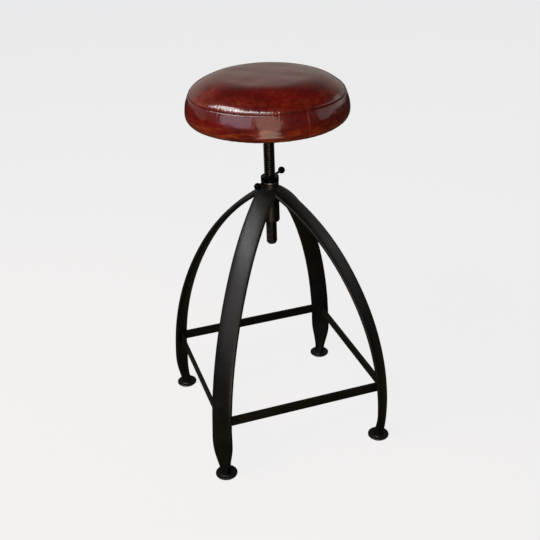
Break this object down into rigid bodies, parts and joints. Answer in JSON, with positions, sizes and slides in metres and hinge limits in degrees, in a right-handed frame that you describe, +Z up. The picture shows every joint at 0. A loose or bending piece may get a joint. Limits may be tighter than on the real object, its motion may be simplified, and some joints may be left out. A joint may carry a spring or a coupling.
{
  "type": "machinist stool",
  "caption": "Round padded leather seat on a screw spindle with a lock nut, carried by four bent oval tube legs joined by flat bar stretchers on round foot discs.",
  "frame": {"origin": "on the floor, on the spindle axis, midway between the four feet", "axes": "+Z up along the spindle; stretchers run along X and Y, legs stand on the diagonals; -Y is the front"},
  "size_m": [0.4218, 0.4218, 0.8381],
  "materials": {
    "frame_black": "satin black paint on bent steel tube",
    "spindle_black": "oiled black steel",
    "zinc_steel": "zinc plated",
    "glide_plastic": "moulded matte",
    "ring_nylon": "turned nylon",
    "leather": "glazed, hand rubbed red brown",
    "foam": "open cell foam",
    "plywood": "raw plywood",
    "cover_cloth": "black non-woven cloth"
  },
  "bodies": {
    "frame": {"leg_front_left": "frame_black", "leg_front_right": "frame_black", "leg_rear_right": "frame_black", "leg_rear_left": "frame_black", "stretcher_front": "frame_black", "stretcher_right": "frame_black", "stretcher_rear": "frame_black", "stretcher_left": "frame_black", "foot_disc_front_left": "frame_black", "foot_disc_front_right": "frame_black", "foot_disc_rear_right": "frame_black", "foot_disc_rear_left": "frame_black", "foot_pad_front_left": "glide_plastic", "foot_pad_front_right": "glide_plastic", "foot_pad_rear_right": "glide_plastic", "foot_pad_rear_left": "glide_plastic", "hub_sleeve": "frame_black"},
    "guide_ring": {"guide_ring": "ring_nylon"},
    "seat": {"spindle": "spindle_black", "seat_plate": "frame_black", "seat_screws": "zinc_steel", "seat_board": "plywood", "seat_foam": "foam", "leather_top": "leather", "leather_band": "leather", "dust_cover": "cover_cloth", "cover_staples": "zinc_steel"},
    "spring_washer": {"spring_washer": "zinc_steel"},
    "lock_nut": {"lock_nut": "spindle_black", "lock_arm_front": "spindle_black", "lock_arm_rear": "spindle_black", "ball_knob_front": "spindle_black", "ball_knob_rear": "spindle_black"}
  },
  "joints": [
    {"name": "seat_turn", "type": "hinge", "parent": "frame", "child": "guide_ring", "pos_m": [0, 0, 0.6], "axis": [0, 0, 1], "range_deg": [-8280, 3600]},
    {"name": "seat_rise", "type": "slide", "parent": "guide_ring", "child": "seat", "axis": [0, 0, 1], "range_m": [-0.115, 0.05]},
    {"name": "lock_nut_lift", "type": "slide", "parent": "frame", "child": "spring_washer", "axis": [0, 0, 1], "range_m": [0, 0.00125]},
    {"name": "lock_nut_turn", "type": "hinge", "parent": "spring_washer", "child": "lock_nut", "pos_m": [0, 0, 0.612], "axis": [0, 0, 1], "range_deg": [0, 90]}
  ],
  "couplings": [
    {"joint": "seat_rise", "follows": "seat_turn", "m_per_rad": 0.00079577},
    {"joint": "lock_nut_lift", "follows": "lock_nut_turn", "m_per_rad": 0.00079577}
  ]
}
